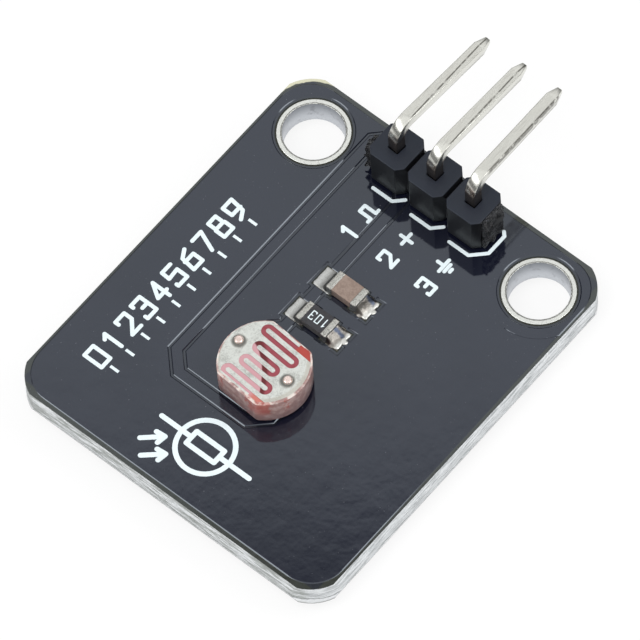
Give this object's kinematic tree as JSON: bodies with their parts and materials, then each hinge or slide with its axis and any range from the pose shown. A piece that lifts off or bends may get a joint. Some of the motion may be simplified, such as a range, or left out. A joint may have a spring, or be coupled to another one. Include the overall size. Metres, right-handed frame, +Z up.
{
  "type": "light sensor module",
  "caption": "Small black circuit board with a light-dependent resistor, a chip resistor and capacitor, an angled pin header and plated mounting holes.",
  "frame": {"origin": "midway between the two mounting holes, on the underside of the board", "axes": "+Z up out of the component side, +X from the sensor towards the free ends of the header pins, +Y along the row of pins and from one mounting hole to the other"},
  "size_m": [0.0289, 0.0206, 0.0076],
  "materials": {
    "laminate": "rough sawn glass-fibre laminate",
    "solder_mask": "glossy black solder mask",
    "copper": "smooth copper foil",
    "solder": "bright tin solder",
    "pin_metal": "tinned square wire",
    "header_plastic": "moulded black plastic with snapped ends",
    "sensor_ceramic": "fine white ceramic",
    "sensing_film": "dark red sensing film",
    "electrode_metal": "pale evaporated metal film",
    "sensor_resin": "clear pinkish cast resin",
    "lead_metal": "tinned round wire",
    "chip_ceramic": "white alumina",
    "chip_glaze": "dark glaze",
    "capacitor_ceramic": "brown fired ceramic",
    "chip_end_metal": "matt tin end caps"
  },
  "bodies": {
    "root": {"board_core": "laminate", "capacitor_body": "capacitor_ceramic", "capacitor_ground_cap": "chip_end_metal", "capacitor_ground_solder": "solder", "capacitor_signal_cap": "chip_end_metal", "capacitor_signal_solder": "solder", "ground_copper": "copper", "ground_pin": "pin_metal", "ground_pin_solder": "solder", "header_housing": "header_plastic", "left_mounting_hole_rim": "solder", "output_pin": "pin_metal", "output_pin_solder": "solder", "resistor_body": "chip_ceramic", "resistor_glaze": "chip_glaze", "resistor_ground_cap": "chip_end_metal", "resistor_ground_solder": "solder", "resistor_signal_cap": "chip_end_metal", "resistor_signal_solder": "solder", "right_mounting_hole_rim": "solder", "sensor_coat": "sensor_resin", "sensor_disc": "sensor_ceramic", "sensor_film": "sensing_film", "signal_copper": "copper", "signal_electrode": "electrode_metal", "signal_lead": "lead_metal", "signal_lead_solder": "solder", "solder_mask_bottom": "solder_mask", "solder_mask_top": "solder_mask", "supply_copper": "copper", "supply_electrode": "electrode_metal", "supply_lead": "lead_metal", "supply_lead_solder": "solder", "supply_pin": "pin_metal", "supply_pin_solder": "solder"}
  },
  "joints": []
}
